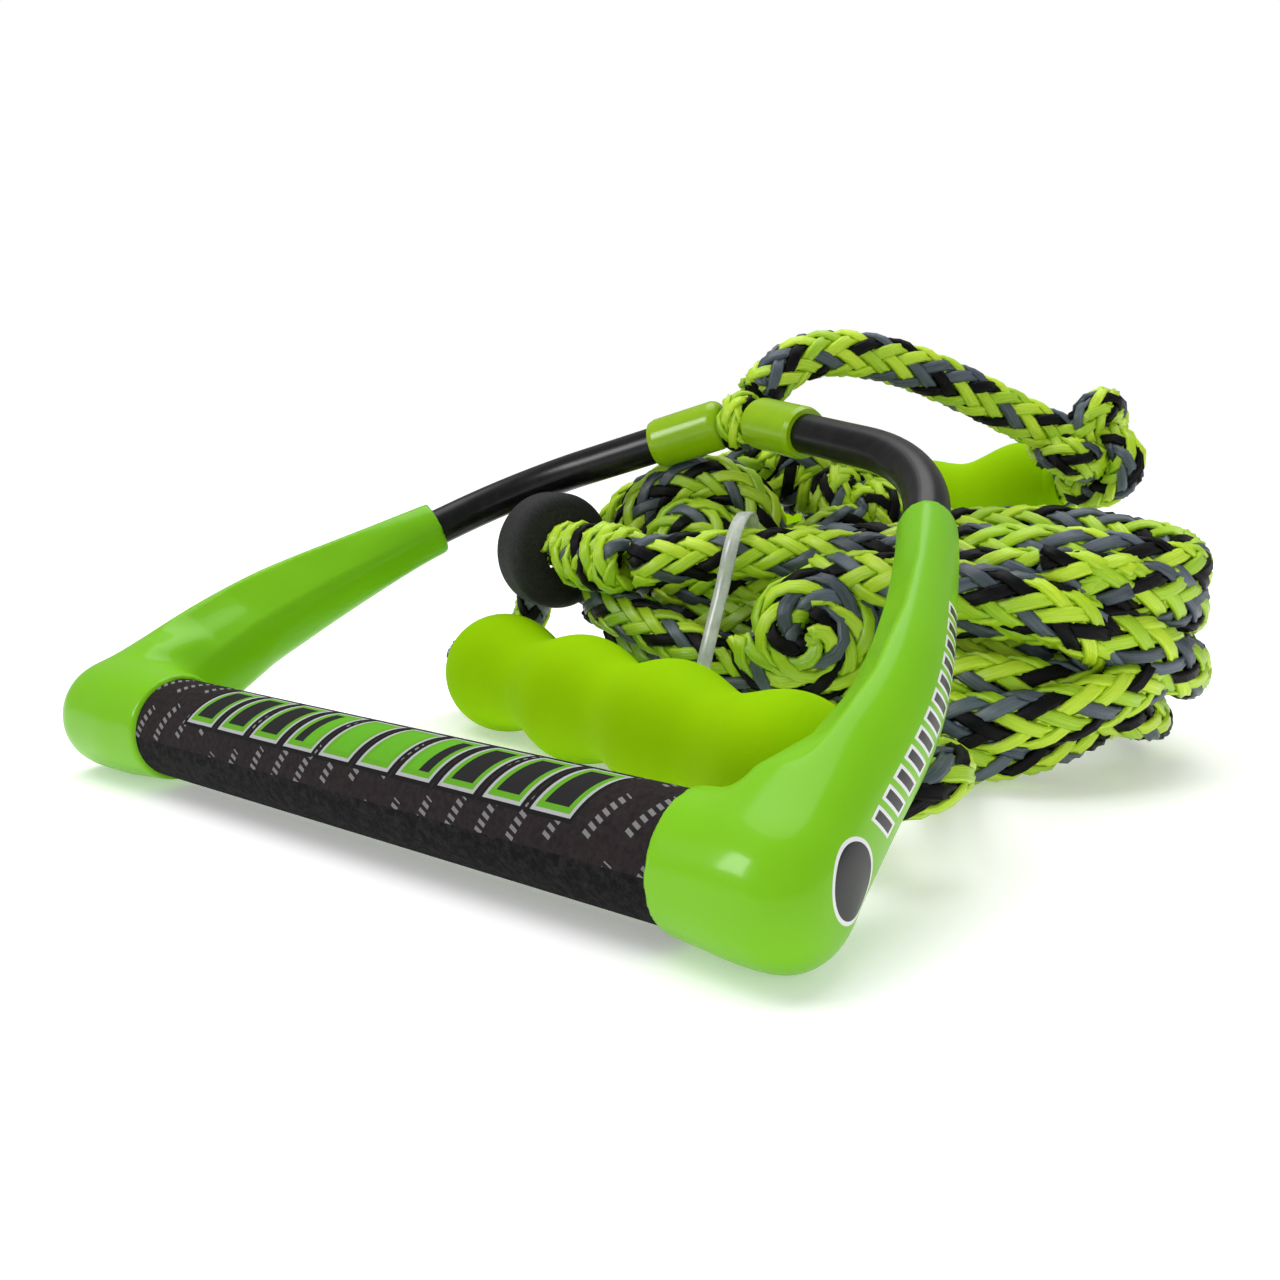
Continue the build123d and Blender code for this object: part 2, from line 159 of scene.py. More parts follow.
# ---------------------------------------------------------------- materials
class Nodes:
    """A short way to write a material's node tree."""

    def __init__(self, name):
        self.material = bpy.data.materials.new(name)
        self.material.use_nodes = True
        self.tree = self.material.node_tree
        self.shader = self.tree.nodes["Principled BSDF"]

    def add(self, kind, **settings):
        node = self.tree.nodes.new("ShaderNode" + kind)
        for key, value in settings.items():
            if key in node.inputs:
                self.feed(value, node.inputs[key])
            else:
                setattr(node, key, value)
        return node

    def feed(self, value, socket):
        if isinstance(value, bpy.types.NodeSocket):
            self.tree.links.new(value, socket)
        else:
            socket.default_value = value

    def math(self, operation, first, second=0.0):
        node = self.tree.nodes.new("ShaderNodeMath")
        node.operation = operation
        self.feed(first, node.inputs[0])
        self.feed(second, node.inputs[1])
        return node.outputs[0]

    def mix(self, factor, first, second):
        node = self.tree.nodes.new("ShaderNodeMix")
        node.data_type = "RGBA"
        self.feed(factor, node.inputs["Factor"])
        for value, socket in ((first, node.inputs[6]), (second, node.inputs[7])):
            self.feed(value if isinstance(value, bpy.types.NodeSocket) else (*value, 1), socket)
        return node.outputs[2]

    def ramp(self, value, low, high):
        node = self.tree.nodes.new("ShaderNodeMapRange")
        node.clamp = True
        self.feed(value, node.inputs["Value"])
        node.inputs["From Min"].default_value = low
        node.inputs["From Max"].default_value = high
        return node.outputs[0]

    def place(self, scale=(1, 1, 1)):
        coordinates = self.tree.nodes.new("ShaderNodeTexCoord")
        mapping = self.tree.nodes.new("ShaderNodeMapping")
        mapping.inputs["Scale"].default_value = scale
        self.tree.links.new(coordinates.outputs["Object"], mapping.inputs["Vector"])
        return mapping.outputs[0]

    def from_bar(self):
        """X, Y and Z in millimetres from the middle of the bar."""
        spot = self.add("VectorMath", operation="SUBTRACT")
        coordinates = self.tree.nodes.new("ShaderNodeTexCoord")
        self.tree.links.new(coordinates.outputs["Object"], spot.inputs[0])
        spot.inputs[1].default_value = at(0, 0, BAR_HEIGHT)
        parts = self.add("SeparateXYZ")
        self.tree.links.new(spot.outputs[0], parts.inputs[0])
        return [self.math("DIVIDE", part, MM) for part in parts.outputs]

    def noise(self, vector, scale, detail=3.0, roughness=0.55):
        node = self.add("TexNoise", Vector=vector, Scale=scale, Detail=detail, Roughness=roughness)
        return node.outputs[0]

    def bump(self, height, strength, distance):
        node = self.add("Bump", Height=height, Strength=strength, Distance=distance)
        self.tree.links.new(node.outputs[0], self.shader.inputs["Normal"])

    def finish(self, **sockets):
        for name, value in sockets.items():
            self.feed(value, self.shader.inputs[name.replace("_", " ")])
        return self.material


def moulded_green(side):
    """Lime moulding with a slight depth of colour and faint flow marks. Along its outer face runs a
    plain mark: a dot, then a row of slanted bars, black with a white edge."""
    dot_rise, dot_radius = 5.0, 8.8         # the dot's middle is this far up the arm
    pitch, slant, half_height = 6.2, 0.4, 4.6
    half_bar, row_middle, half_row = 0.36, 9.0, 6.0     # in pitches of the bars
    edge, least_outward = 0.9, 0.4
    n = Nodes(f"{side}_lime_moulding")
    clouds = n.noise(n.place(), 14.0, 2.0)
    colour = n.mix(n.ramp(clouds, 0.35, 0.65), (0.176, 0.490, 0.006), (0.206, 0.545, 0.008))
    y, z = n.from_bar()[1:]
    c, s = math.cos(math.radians(LEAN[side])), math.sin(math.radians(LEAN[side]))
    rise = n.math("ADD", n.math("MULTIPLY", y, c), n.math("MULTIPLY", z, s))
    across = n.math("SUBTRACT", n.math("MULTIPLY", z, c), n.math("MULTIPLY", y, s))
    from_dot = n.math("SUBTRACT", rise, dot_rise)
    squares = n.math("ADD", n.math("MULTIPLY", from_dot, from_dot), n.math("MULTIPLY", across, across))
    in_dot = n.math("SUBTRACT", dot_radius, n.math("SQRT", squares))
    slanted = n.math("DIVIDE", n.math("ADD", rise, n.math("MULTIPLY", across, slant)), pitch)
    from_bar_middle = n.math("ABSOLUTE", n.math("SUBTRACT", n.math("FRACT", slanted), 0.5))
    in_bar = n.math("SUBTRACT", half_bar, from_bar_middle)
    in_height = n.math("SUBTRACT", half_height, n.math("ABSOLUTE", across))
    in_row = n.math("SUBTRACT", half_row, n.math("ABSOLUTE", n.math("SUBTRACT", slanted, row_middle)))
    in_bars = n.math("MINIMUM", in_height, n.math("MULTIPLY", n.math("MINIMUM", in_bar, in_row), pitch))
    depth = n.math("MAXIMUM", in_dot, in_bars)
    normal = n.add("SeparateXYZ")
    n.tree.links.new(n.add("NewGeometry").outputs["Normal"], normal.inputs[0])
    outward = n.math("MULTIPLY", normal.outputs[0], OUTWARD[side])
    faces_out = n.math("GREATER_THAN", outward, least_outward)
    for inset, ink in ((0.0, (0.80, 0.80, 0.80)), (edge, (0.02, 0.02, 0.02))):
        inked = n.math("MULTIPLY", faces_out, n.math("GREATER_THAN", depth, inset))
        colour = n.mix(inked, colour, ink)
    grain = n.noise(n.place(), 900.0, 2.0)
    n.bump(grain, 0.05, 0.0002)
    return n.finish(Base_Color=colour, Roughness=0.36, Coat_Weight=0.24, Coat_Roughness=0.13,
                    Subsurface_Weight=0.10, Subsurface_Scale=0.004, Specular_IOR_Level=0.10)


def sleeve_green():
    n = Nodes("olive_lime_sleeve")
    clouds = n.noise(n.place(), 60.0, 3.0)
    colour = n.mix(n.ramp(clouds, 0.3, 0.7), (0.240, 0.430, 0.001), (0.290, 0.500, 0.002))
    n.bump(n.noise(n.place(), 350.0, 3.0), 0.12, 0.0003)
    return n.finish(Base_Color=colour, Roughness=0.26, Coat_Weight=0.15, Coat_Roughness=0.1,
                    Specular_IOR_Level=0.25)


def tube_black():
    n = Nodes("black_tube")
    streaks = n.noise(n.place(), 240.0, 4.0)
    colour = n.mix(n.ramp(streaks, 0.4, 0.7), (0.003, 0.003, 0.003), (0.008, 0.008, 0.008))
    n.bump(streaks, 0.08, 0.0003)
    return n.finish(Base_Color=colour, Roughness=0.30, Specular_IOR_Level=0.28)


def float_foam():
    """Skinned foam: matte, with very fine pores and a faint mottling."""
    n = Nodes("lime_float_foam")
    clouds = n.noise(n.place(), 22.0, 3.0)
    colour = n.mix(n.ramp(clouds, 0.3, 0.7), (0.270, 0.530, 0.0), (0.310, 0.590, 0.0))
    pores = n.noise(n.place(), 1500.0, 3.0, 0.7)
    n.bump(pores, 0.25, 0.0004)
    return n.finish(Base_Color=colour, Roughness=0.75, Specular_IOR_Level=0.03)


def foam_black():
    n = Nodes("black_foam")
    pores = n.noise(n.place(), 1200.0, 4.0, 0.7)
    colour = n.mix(n.ramp(pores, 0.35, 0.75), (0.010, 0.010, 0.011), (0.030, 0.030, 0.031))
    n.bump(pores, 0.5, 0.0006)
    return n.finish(Base_Color=colour, Roughness=0.75, Specular_IOR_Level=0.35)


def strand_material(name, dark, light, roughness, gloss):
    """Flat shiny tape of a braid: fine fibres run along it, and each strand has its own tint."""
    n = Nodes(name)
    fibre = n.add("UVMap", uv_map="fibre").outputs[0]
    stretched = n.add("VectorMath", operation="MULTIPLY")
    n.tree.links.new(fibre, stretched.inputs[0])
    stretched.inputs[1].default_value = (60.0, 26.0, 1.0)       # long along a strand, fine across it
    fibres = n.noise(stretched.outputs[0], 1.0, 3.0, 0.65)
    tint = n.add("Attribute", attribute_name="tint").outputs["Fac"]
    amount = n.math("ADD", n.math("MULTIPLY", n.ramp(fibres, 0.3, 0.7), 0.55), n.math("MULTIPLY", tint, 0.45))
    colour = n.mix(amount, dark, light)
    n.bump(fibres, 0.55, 0.0005)
    return n.finish(Base_Color=colour, Roughness=roughness, Specular_IOR_Level=gloss)


LIME = strand_material("strand_lime", (0.240, 0.520, 0.002), (0.740, 0.980, 0.045), 0.30, 0.5)
SLATE = strand_material("strand_slate", (0.010, 0.017, 0.026), (0.150, 0.195, 0.240), 0.32, 0.5)
BLACK = strand_material("strand_black", (0.001, 0.001, 0.001), (0.005, 0.005, 0.006), 0.40, 0.14)
# The inside of the hollow braid: near-black painted shade, seen through the gaps between the strands.
SHADE_INSIDE = strand_material("strand_painted_shade", (0.001, 0.002, 0.001), (0.004, 0.005, 0.003), 0.9, 0.1)
STRANDS = [LIME, SLATE, BLACK, SHADE_INSIDE]


# ---------------------------------------------------------------- the braid
G, S, K, SHADE = 0, 1, 2, 3      # lime, slate and black strands, and the near-black inner tube that is painted shade inside the hollow braid
RIGHT_HAND = (G, G, G, S, G, G, K, S)
LEFT_HAND = (G, G, K, G, G, S, S, K)
PER_HAND = 8            # strands each way round: a multiple of four closes the two-over-two weave
STRAND_THICK = 1.5 * MM
# A strand's section: across it in shares of its width, and up from it in shares of its thickness.
STRAND_PROFILE = np.array(((-0.5, 0.0), (-0.31, 0.85), (0.0, 0.55), (0.31, 0.85), (0.5, 0.0), (0.0, -0.6)))
STEP = 3.1 * MM         # from point to point along a rope


def smooth_path(points, step=STEP):
    """Points, a step apart, along the NURBS line that a route's points control."""
    curve = bpy.data.curves.new("route", "CURVE")
    curve.dimensions = "3D"
    curve.resolution_u = 24
    spline = curve.splines.new("NURBS")
    spline.points.add(len(points) - 1)
    for point, place in zip(spline.points, points):
        point.co = (*place, 1)
    spline.order_u = 3
    spline.use_endpoint_u = True
    holder = bpy.data.objects.new("route", curve)
    mesh = bpy.data.meshes.new_from_object(holder)
    line = np.array([v.co for v in mesh.vertices])
    bpy.data.meshes.remove(mesh)
    bpy.data.objects.remove(holder)
    bpy.data.curves.remove(curve)
    return respace(line, step)


def respace(line, step):
    """The same line with its points evenly spaced, about a step apart."""
    lengths = np.linalg.norm(np.diff(line, axis=0), axis=1)
    keep = np.concatenate([[True], lengths > 1e-7])
    line = line[keep]
    along = np.concatenate([[0], np.cumsum(np.linalg.norm(np.diff(line, axis=0), axis=1))])
    count = max(3, int(round(along[-1] / step)) + 1)
    wanted = np.linspace(0, along[-1], count)
    return np.stack([np.interp(wanted, along, line[:, k]) for k in range(3)], 1)


def unit_rows(vectors):
    return vectors / np.maximum(np.linalg.norm(vectors, axis=1, keepdims=True), 1e-12)


def path_frames(line, hint):
    """The wide and the thin way at each point. The wide one follows the hint, or else turns least."""
    tangent = unit_rows(np.gradient(line, axis=0))
    if hint is not None:
        hint = np.broadcast_to(np.asarray(hint, float), line.shape)
        wide = unit_rows(hint - (hint * tangent).sum(1, keepdims=True) * tangent)
        return wide, np.cross(tangent, wide)
    wide = np.zeros_like(line)
    start = np.array([0.0, 0.0, 1.0]) if abs(tangent[0][2]) < 0.9 else np.array([1.0, 0.0, 0.0])
    current = start - start @ tangent[0] * tangent[0]
    for index, way in enumerate(tangent):
        current = current - current @ way * way
        current = current / np.linalg.norm(current)
        wide[index] = current
    return wide, np.cross(tangent, wide)


def tube_faces(rings, count, first):
    """Quads of a tube of rings of count points (an even number), with both its ends closed."""
    here = np.arange(rings - 1)[:, None] * count + np.arange(count)[None, :]
    beside = np.arange(rings - 1)[:, None] * count + (np.arange(count)[None, :] + 1) % count
    sides = np.stack([here, beside, beside + count, here + count], 2).reshape(-1, 4)
    cap = np.array([(0, k, k + 1, k + 2) for k in range(1, count - 2, 2)])
    last = (rings - 1) * count
    return np.concatenate([sides, cap[:, ::-1], cap + last]) + first


class Tubes:
    """Closed tubes gathered for one mesh: their points, quads, slots, fibre places and tints."""

    def __init__(self):
        self.parts = []
        self.points = 0

    def add(self, rings, along, slot, fibre_start, tint):
        """A tube through rings of points, each ring at its distance along the rope."""
        number, sides = rings.shape[:2]
        quads = tube_faces(number, sides, self.points)
        round_it = np.tile(np.arange(sides) / sides, number) + fibre_start
        self.parts.append((rings.reshape(-1, 3), quads, np.full(len(quads), slot),
                           np.stack([np.repeat(along, sides), round_it], 1),
                           np.full(number * sides, tint)))
        self.points += number * sides

    def joined(self):
        return [np.concatenate(kind) for kind in zip(*self.parts)]


def braid(name, line, seed, wide, thin, pitch=80 * MM, hint=None, per_hand=PER_HAND):
    """A round or flattened tubular braid along a line of points: two hands of strands that pass
    two over and two under, round a near-black inner tube that is painted shade for the hollow braid's dark
    inside. Wide and thin are half its sizes."""
    random = np.random.default_rng(seed)
    wide_way, thin_way = path_frames(line, hint)
    along = np.concatenate([[0], np.cumsum(np.linalg.norm(np.diff(line, axis=0), axis=1))])
    inset, rise = 1.3 * STRAND_THICK, 0.62 * STRAND_THICK
    a, b = wide - inset, thin - inset
    mean = (a + b) / 2
    lean = math.atan2(2 * math.pi * mean, pitch)
    overlap = 1.12
    width = overlap * 2 * math.pi * mean / per_hand * math.cos(lean)
    offset = random.uniform(0, 2 * math.pi)
    tubes = Tubes()
    for hand, colours in ((1, RIGHT_HAND), (-1, LEFT_HAND)):
        for index in range(per_hand):
            turn = hand * 2 * math.pi * along / pitch + 2 * math.pi * index / per_hand
            phase = 2 * index + hand * 2 * per_hand * along / pitch
            wave = np.cos(2 * math.pi * (phase - 0.5) / 4) * hand
            lift = rise * np.clip(1.5 * wave, -1, 1)
            cos_t, sin_t = np.cos(turn + offset), np.sin(turn + offset)
            normal = unit_rows(wide_way * (cos_t * b)[:, None] + thin_way * (sin_t * a)[:, None])
            centre = line + wide_way * (cos_t * a)[:, None] + thin_way * (sin_t * b)[:, None]
            centre = centre + normal * lift[:, None]
            across = np.cross(unit_rows(np.gradient(centre, axis=0)), normal)
            rings = (centre[:, None, :]
                     + across[:, None, :] * (STRAND_PROFILE[None, :, :1] * width)
                     + normal[:, None, :] * (STRAND_PROFILE[None, :, 1:] * STRAND_THICK))
            own_fibres = index * 3.7 + (hand > 0) * 41      # no two strands share a stretch of the noise
            tubes.add(rings, along, colours[index % len(colours)], own_fibres, random.uniform(0, 1))
    # A closed near-black tube inside the strands: painted shade that stands in for the dark inside of the
    # hollow braid.
    shade_tube_sides, shade_tube_inset = 12, 0.4 * MM
    angle = np.arange(shade_tube_sides) * 2 * math.pi / shade_tube_sides
    every_other = slice(None, None, 2)
    shade_tube = (line[every_other, None, :]
            + wide_way[every_other, None, :] * (np.cos(angle)[None, :, None] * (a - shade_tube_inset))
            + thin_way[every_other, None, :] * (np.sin(angle)[None, :, None] * (b - shade_tube_inset)))
    tubes.add(shade_tube, along[every_other], SHADE, 0, 0.5)
    return mesh_from_arrays(name, *tubes.joined())


def mesh_from_arrays(name, verts, quads, slots, uvs, tints):
    mesh = bpy.data.meshes.new(name)
    mesh.vertices.add(len(verts))
    mesh.vertices.foreach_set("co", verts.astype(np.float32).ravel())
    mesh.loops.add(len(quads) * 4)
    mesh.loops.foreach_set("vertex_index", quads.astype(np.int32).ravel())
    mesh.polygons.add(len(quads))
    mesh.polygons.foreach_set("loop_start", (np.arange(len(quads)) * 4).astype(np.int32))
    mesh.polygons.foreach_set("material_index", slots.astype(np.int32))
    mesh.polygons.foreach_set("use_smooth", np.ones(len(quads), bool))
    layer = mesh.uv_layers.new(name="fibre")
    layer.data.foreach_set("uv", uvs[quads.ravel()].astype(np.float32).ravel())
    tint = mesh.attributes.new("tint", "FLOAT", "POINT")
    tint.data.foreach_set("value", tints.astype(np.float32))
    mesh.update()
    mesh.validate()
    piece = add_object(name, mesh)
    for material in STRANDS:
        mesh.materials.append(material)
    return piece


# ---------------------------------------------------------------- the line: routes
def route(*points):
    return [at(*p) for p in points]


# From the eye at the apex up and over to the ball knot, and the free stretches between the floats,
# the donut and the hank.
TAIL = route((0, 174.8, 119.4), (3, 187, 130), (8, 199, 134.5), (17, 214, 135), (29, 231, 131),
             (45, 252, 121), (61, 271, 109.5), (77, 289, 100), (80.5, 299, 94), (75.5, 308.5, 88),
             (64.5, 312.8, 85.3))
# From behind the front donut, round and through the front float, and back under the arm to the hank.
FLOAT_LINE = route((-70.5, 138.5, 64), (-79, 142, 62), (-87, 149, 54), (-91, 156, 43), (-95, 157, 31),
                   (-102, 150, 23), (-107, 139, 21.6), (-102, 128, 21.4), (-89, 121.1, 21.4),
                   (-60, 111.6, 21.4), (11, 88.3, 21.4), (80, 65.6, 21.4),
                   (107, 56.7, 21.4), (114.6, 54.6, 22.2), (121.8, 57, 23.6), (126.2, 63, 25),
                   (126, 71.5, 25.5), (121, 80.5, 24.5), (113, 91, 22), (105, 104, 18.5),
                   (98, 119, 14.5), (93, 134, 11), (89, 150, 8.5))
# From the rear coil out to the spliced loop that goes on the boat, round it and back to its throat.
LOOP_LINE = route((-72, 341, 10), (-84, 333, 9), (-95, 325, 8), (-101, 331, 7.4), (-113, 333, 7.4),
                  (-127, 331, 7.4), (-139, 323, 7.4), (-146, 310, 7.4), (-144, 295, 7.4), (-135, 283, 7.4),
                  (-121, 277, 7.4), (-106, 279, 7.4), (-94, 289, 7.4), (-90, 303, 7.4), (-93, 317, 7.6),
                  (-92, 326, 10))
LOOP_SPLICE = route((-66, 345, 11), (-78, 337, 9.6), (-90, 328, 9))
# The middle of each foam ring and of the rear float, and the way that its hole points.
FRONT_DONUT, FRONT_AXIS = (-62, 136, 64), (0.949, -0.284, 0)
BACK_DONUT, BACK_AXIS = (15, 221, 77), (0.75, 0.50, -0.43)
BACK_FLOAT, FLOAT_AXIS = (-36, 330, 68), (0.970, -0.166, 0.166)

# Bights over the hank, each from the top of one strand to where it dives in again.
OVER_STRAND = route((-12, 121, 64), (2, 128, 66), (16, 139, 67), (36, 147, 68), (62, 155, 67),
                    (90, 166, 64), (116, 186, 58), (130, 208, 52), (134, 230, 50), (126, 250, 47),
                    (110, 262, 42), (92, 256, 34))
UNDER_STRAND = route((-46, 141, 46), (-32, 131, 46), (-13, 127, 43), (6, 127, 37), (26, 131, 28),
                     (50, 138, 18), (76, 143, 12), (92, 150, 10))
FRONT_BIGHT = route((24, 152, 58), (44, 146, 61), (70, 145, 62), (98, 150, 60), (118, 160, 55),
                    (126, 172, 46), (120, 182, 38), (104, 180, 32))
HIGH_BIGHT = route((-44, 158, 50), (-47, 160, 70), (-37, 164, 86), (-20, 170, 92), (-4, 176, 86),
                   (4, 178, 70), (4, 176, 50))
INNER_BIGHT = route((-30, 152, 52), (-31, 154, 66), (-22, 158, 76), (-10, 161, 76), (-3, 162, 66),
                    (-4, 160, 52))
LEFT_BIGHT = route((-60, 166, 40), (-68, 170, 60), (-60, 174, 78), (-44, 180, 86), (-28, 188, 84),
                   (-16, 196, 68), (-12, 200, 52))
TOP_STRAND = route((-52, 184, 60), (-42, 192, 82), (-20, 202, 95), (0, 206, 98), (18, 210, 93),
                   (36, 214, 80), (50, 222, 62))
# Strands further in, seen through the gaps between those in front.
INNER_STRANDS = (route((-54, 160, 56), (-28, 152, 54), (0, 150, 52), (30, 156, 50)),
                 route((-48, 156, 30), (-24, 146, 27), (4, 143, 24), (34, 146, 20)),
                 route((38, 151, 44), (86, 165, 42), (106, 175, 40), (120, 190, 40)),
                 route((36, 150, 26), (84, 164, 26), (106, 175, 26), (120, 192, 26)))
SWIRL = {"middle": (46, 138, 44), "facing": (0.50, -0.86, 0.10), "turns": 1.75, "outer": 18, "inner": 4,
         "start": -3.1, "dome": 8}

# A hank lies along one line on the floor: u runs along it from the middle of its left end, and v
# across it, and a point strays by up to its wobble. A turn is the reach of its right end, its right
# and left radii, and its height in front, at the right end, at the back and at the left end.
HANK = {"foot": (-12, 174, 0), "u": (0.946, 0.325, 0), "v": (-0.325, 0.946, 0), "wobble": 2.2}
HANK_TURNS = (
    (136, 66, 32, 9, 20, 9, 10),
    (154, 62, 31, 20, 36, 24, 26),
    (146, 55, 20, 34, 16, 12, 12),
    (142, 48, 21, 16, 30, 34, 33),
    (160, 50, 31, 54, 30, 36, 42),
    (124, 30, 12, 38, 46, 44, 46),
    (158, 46, 29, 64, 52, 62, 56),
    (144, 34, 19, 48, 60, 52, 52),
    (156, 42, 26, 71, 62, 72, 60),
)
# The pieces that it is made in: first turn, the one after the last, length in metres, CAD solid.
HANK_PARTS = ((0, 3, 1.41, "bundle_base"), (3, 6, 1.28, "bundle_crown"), (6, 9, 1.16, "knot_pile"))
COIL = {"foot": (-66, 336, 0), "u": (0.990, -0.139, 0), "v": (0.139, 0.990, 0), "wobble": 1.2}
COIL_TURNS = (
    (124, 23, 23, 10, 10, 10, 10),
    (111, 11, 11, 11, 10, 12, 10),
    (124, 23, 23, 28, 27, 28, 27),
    (112, 12, 12, 27, 28, 27, 29),
)
RIGHT_ARC = (-90, -60, -30, 0, 30, 60, 90)
LEFT_ARC = (90, 125, 160, 200, 235, 270)
TURN_SPOTS = ([("right", angle) for angle in RIGHT_ARC] + [("back", 0.66), ("back", 0.33)]
              + [("left", angle) for angle in LEFT_ARC] + [("front", 0.3), ("front", 0.62)])
CHANGE_FROM, CHANGE_OVER = 8, 6     # a turn changes into the next one round its left end


def wound_point(hank, turns, index, order):
    """One control point of a hank: spot number order of turn number index."""
    side, amount = TURN_SPOTS[order]
    now = np.array(turns[index], float)
    then = np.array(turns[min(index + 1, len(turns) - 1)], float)
    share = min(1.0, max(0.0, (order - CHANGE_FROM) / CHANGE_OVER))
    reach, right_r, left_r, z_front, z_right, z_back, z_left = now * (1 - share) + then * share
    right_u = reach - right_r
    bulge = 1.03    # the curve runs inside its control points
    if side == "right":
        turn = math.radians(amount)
        u = right_u + right_r * bulge * math.cos(turn)
        v = right_r * bulge * math.sin(turn)
        z = z_right + (z_front - z_right) * max(0, -math.sin(turn)) ** 2
        z = z + (z_back - z_right) * max(0, math.sin(turn)) ** 2
    elif side == "left":
        turn = math.radians(amount)
        u = left_r * bulge * math.cos(turn)
        v = left_r * bulge * math.sin(turn)
        z = z_left
    else:
        sign, z_side = (1, z_back) if side == "back" else (-1, z_front)
        u = right_u * amount
        v = sign * (left_r + (right_r - left_r) * amount)
        z = z_left + (z_side - z_left) * (0.35 + 0.65 * amount)
    wobble = np.random.default_rng(100 * index + order).uniform(-1, 1, 3) * hank["wobble"]
    lowest = 9.2
    place = (Vector(hank["foot"]) + Vector(hank["u"]) * (u + wobble[0]) + Vector(hank["v"]) * (v + wobble[1])
             + Vector((0, 0, max(lowest, z + wobble[2] * 0.7))))
    return at(*place)


def wound_points(hank, turns, first, last):
    """The control points of turns first up to last. They end where the next turns start."""
    points = [wound_point(hank, turns, index, order)
              for index in range(first, last) for order in range(len(TURN_SPOTS))]
    if last < len(turns):
        return points + [wound_point(hank, turns, last, order) for order in range(2)]
    return points[:-3]


# ---------------------------------------------------------------- the line: pieces
def rope_piece(name, line, seed, stands_for=(), **shape):
    piece = braid(name, line, seed, **shape)
    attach(piece, "line")
    if stands_for:
        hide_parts(*stands_for)
    return piece


def free_stretch(name, points, length, seed, stands_for=(), pieces=(), **shape):
    """A piece of the line between two things that it lies on. Its length in metres is not used."""
    line = smooth_path(points)
    piece = rope_piece(name, line, seed, stands_for, **shape)


def leaning(line, seed, amount):
    """A wide way for each point of a flattened rope: upright, and rolling slowly to either side."""
    random = np.random.default_rng(seed)
    along = np.arange(len(line)) * STEP
    roll = sum(math.pow(0.7, k) * np.sin(along / length + random.uniform(0, 2 * math.pi))
               for k, length in enumerate((0.052, 0.031, 0.019)))
    side = np.cross(unit_rows(np.gradient(line, axis=0)), (0.0, 0.0, 1.0))
    return np.array([0.0, 0.0, 1.0]) + side * (amount * roll)[:, None]


def wound_stretch(name, points, seed, roll_seed, roll, stands_for):
    """A flattened piece of the line that is wound into a hank or a coil."""
    line = smooth_path(points)
    piece = rope_piece(name, line, seed, stands_for, hint=leaning(line, roll_seed, roll),
                       wide=9.6 * MM, thin=6.2 * MM, pitch=88 * MM)


def trefoil(centre, scale, lift, facing, spin):
    """Points round a closed overhand knot. It faces one way, and lift is its thickness."""
    turn = np.linspace(0, 2 * math.pi, 220)
    flat = np.stack([np.sin(turn) + 2 * np.sin(2 * turn), np.cos(turn) - 2 * np.cos(2 * turn),
                     -np.sin(3 * turn) * lift], 1) * scale * MM
    way = Vector(facing).to_track_quat("Z", "Y").to_matrix() @ Matrix.Rotation(spin, 3, "Z")
    return flat @ np.array(way).T + np.array(centre)


def knot(name, centre, scale, lift, facing, spin, seed, stands_for=(), **shape):
    line = respace(trefoil(centre, scale, lift, facing, spin), STEP * 0.9)
    return rope_piece(name, line, seed, stands_for, pitch=50 * MM, **shape)


def wound_knot(name, start, end, turns, seed, stands_for):
    """Turns of the line wound tightly round itself, as in a barrel knot, fattest in its middle."""
    radius, points_per_turn = 8.0 * MM, 26
    start, end = np.array(start), np.array(end)
    length = np.linalg.norm(end - start)
    axis = (end - start) / length
    side = np.cross(axis, (0.0, 0.0, 1.0))
    side = side / np.linalg.norm(side)
    up = np.cross(side, axis)
    share = np.linspace(0, 1, int(turns * points_per_turn))
    angle = share * turns * 2 * math.pi
    swell = radius * (0.86 + 0.14 * np.sin(math.pi * share))
    line = (start + axis * (share * length)[:, None]
            + side * (np.cos(angle) * swell)[:, None] + up * (np.sin(angle) * swell)[:, None])
    line = respace(line, 2.4 * MM)
    nearest = (line - start) @ axis
    outward = unit_rows(line - start - axis * nearest[:, None])
    hint = np.cross(outward, unit_rows(np.gradient(line, axis=0)))
    return rope_piece(name, line, seed, stands_for, wide=5.2 * MM, thin=4.4 * MM, pitch=38 * MM,
                      hint=hint, per_hand=4)


def swirl_line(middle, facing, turns, outer, inner, start, dome):
    """A strand curled in on itself on a low dome, as where the line doubles back into the hank."""
    way = np.array(Vector(facing).to_track_quat("Z", "Y").to_matrix())
    share = np.linspace(0, 1, 160)
    turn = start + share * turns * 2 * math.pi
    radius = outer + (inner - outer) * share
    flat = np.stack([np.cos(turn) * radius, np.sin(turn) * radius, dome * share], 1) * MM
    return respace(flat @ way.T + np.array(at(*middle)), STEP)


def eye_line():
    """One turn round the bridle's apex, in a plane square to the bar."""
    radius = 7.3 * MM
    turn = np.linspace(math.radians(60), math.radians(420), 30)
    circle = np.stack([0 * turn, np.cos(turn), np.sin(turn)], 1) * radius
    return respace(np.array(at(0, 165.5, 110.3)) + circle, 1.6 * MM)


def on_axis(centre, axis, along):
    return at(*centre) + Vector(axis).normalized() * along * MM


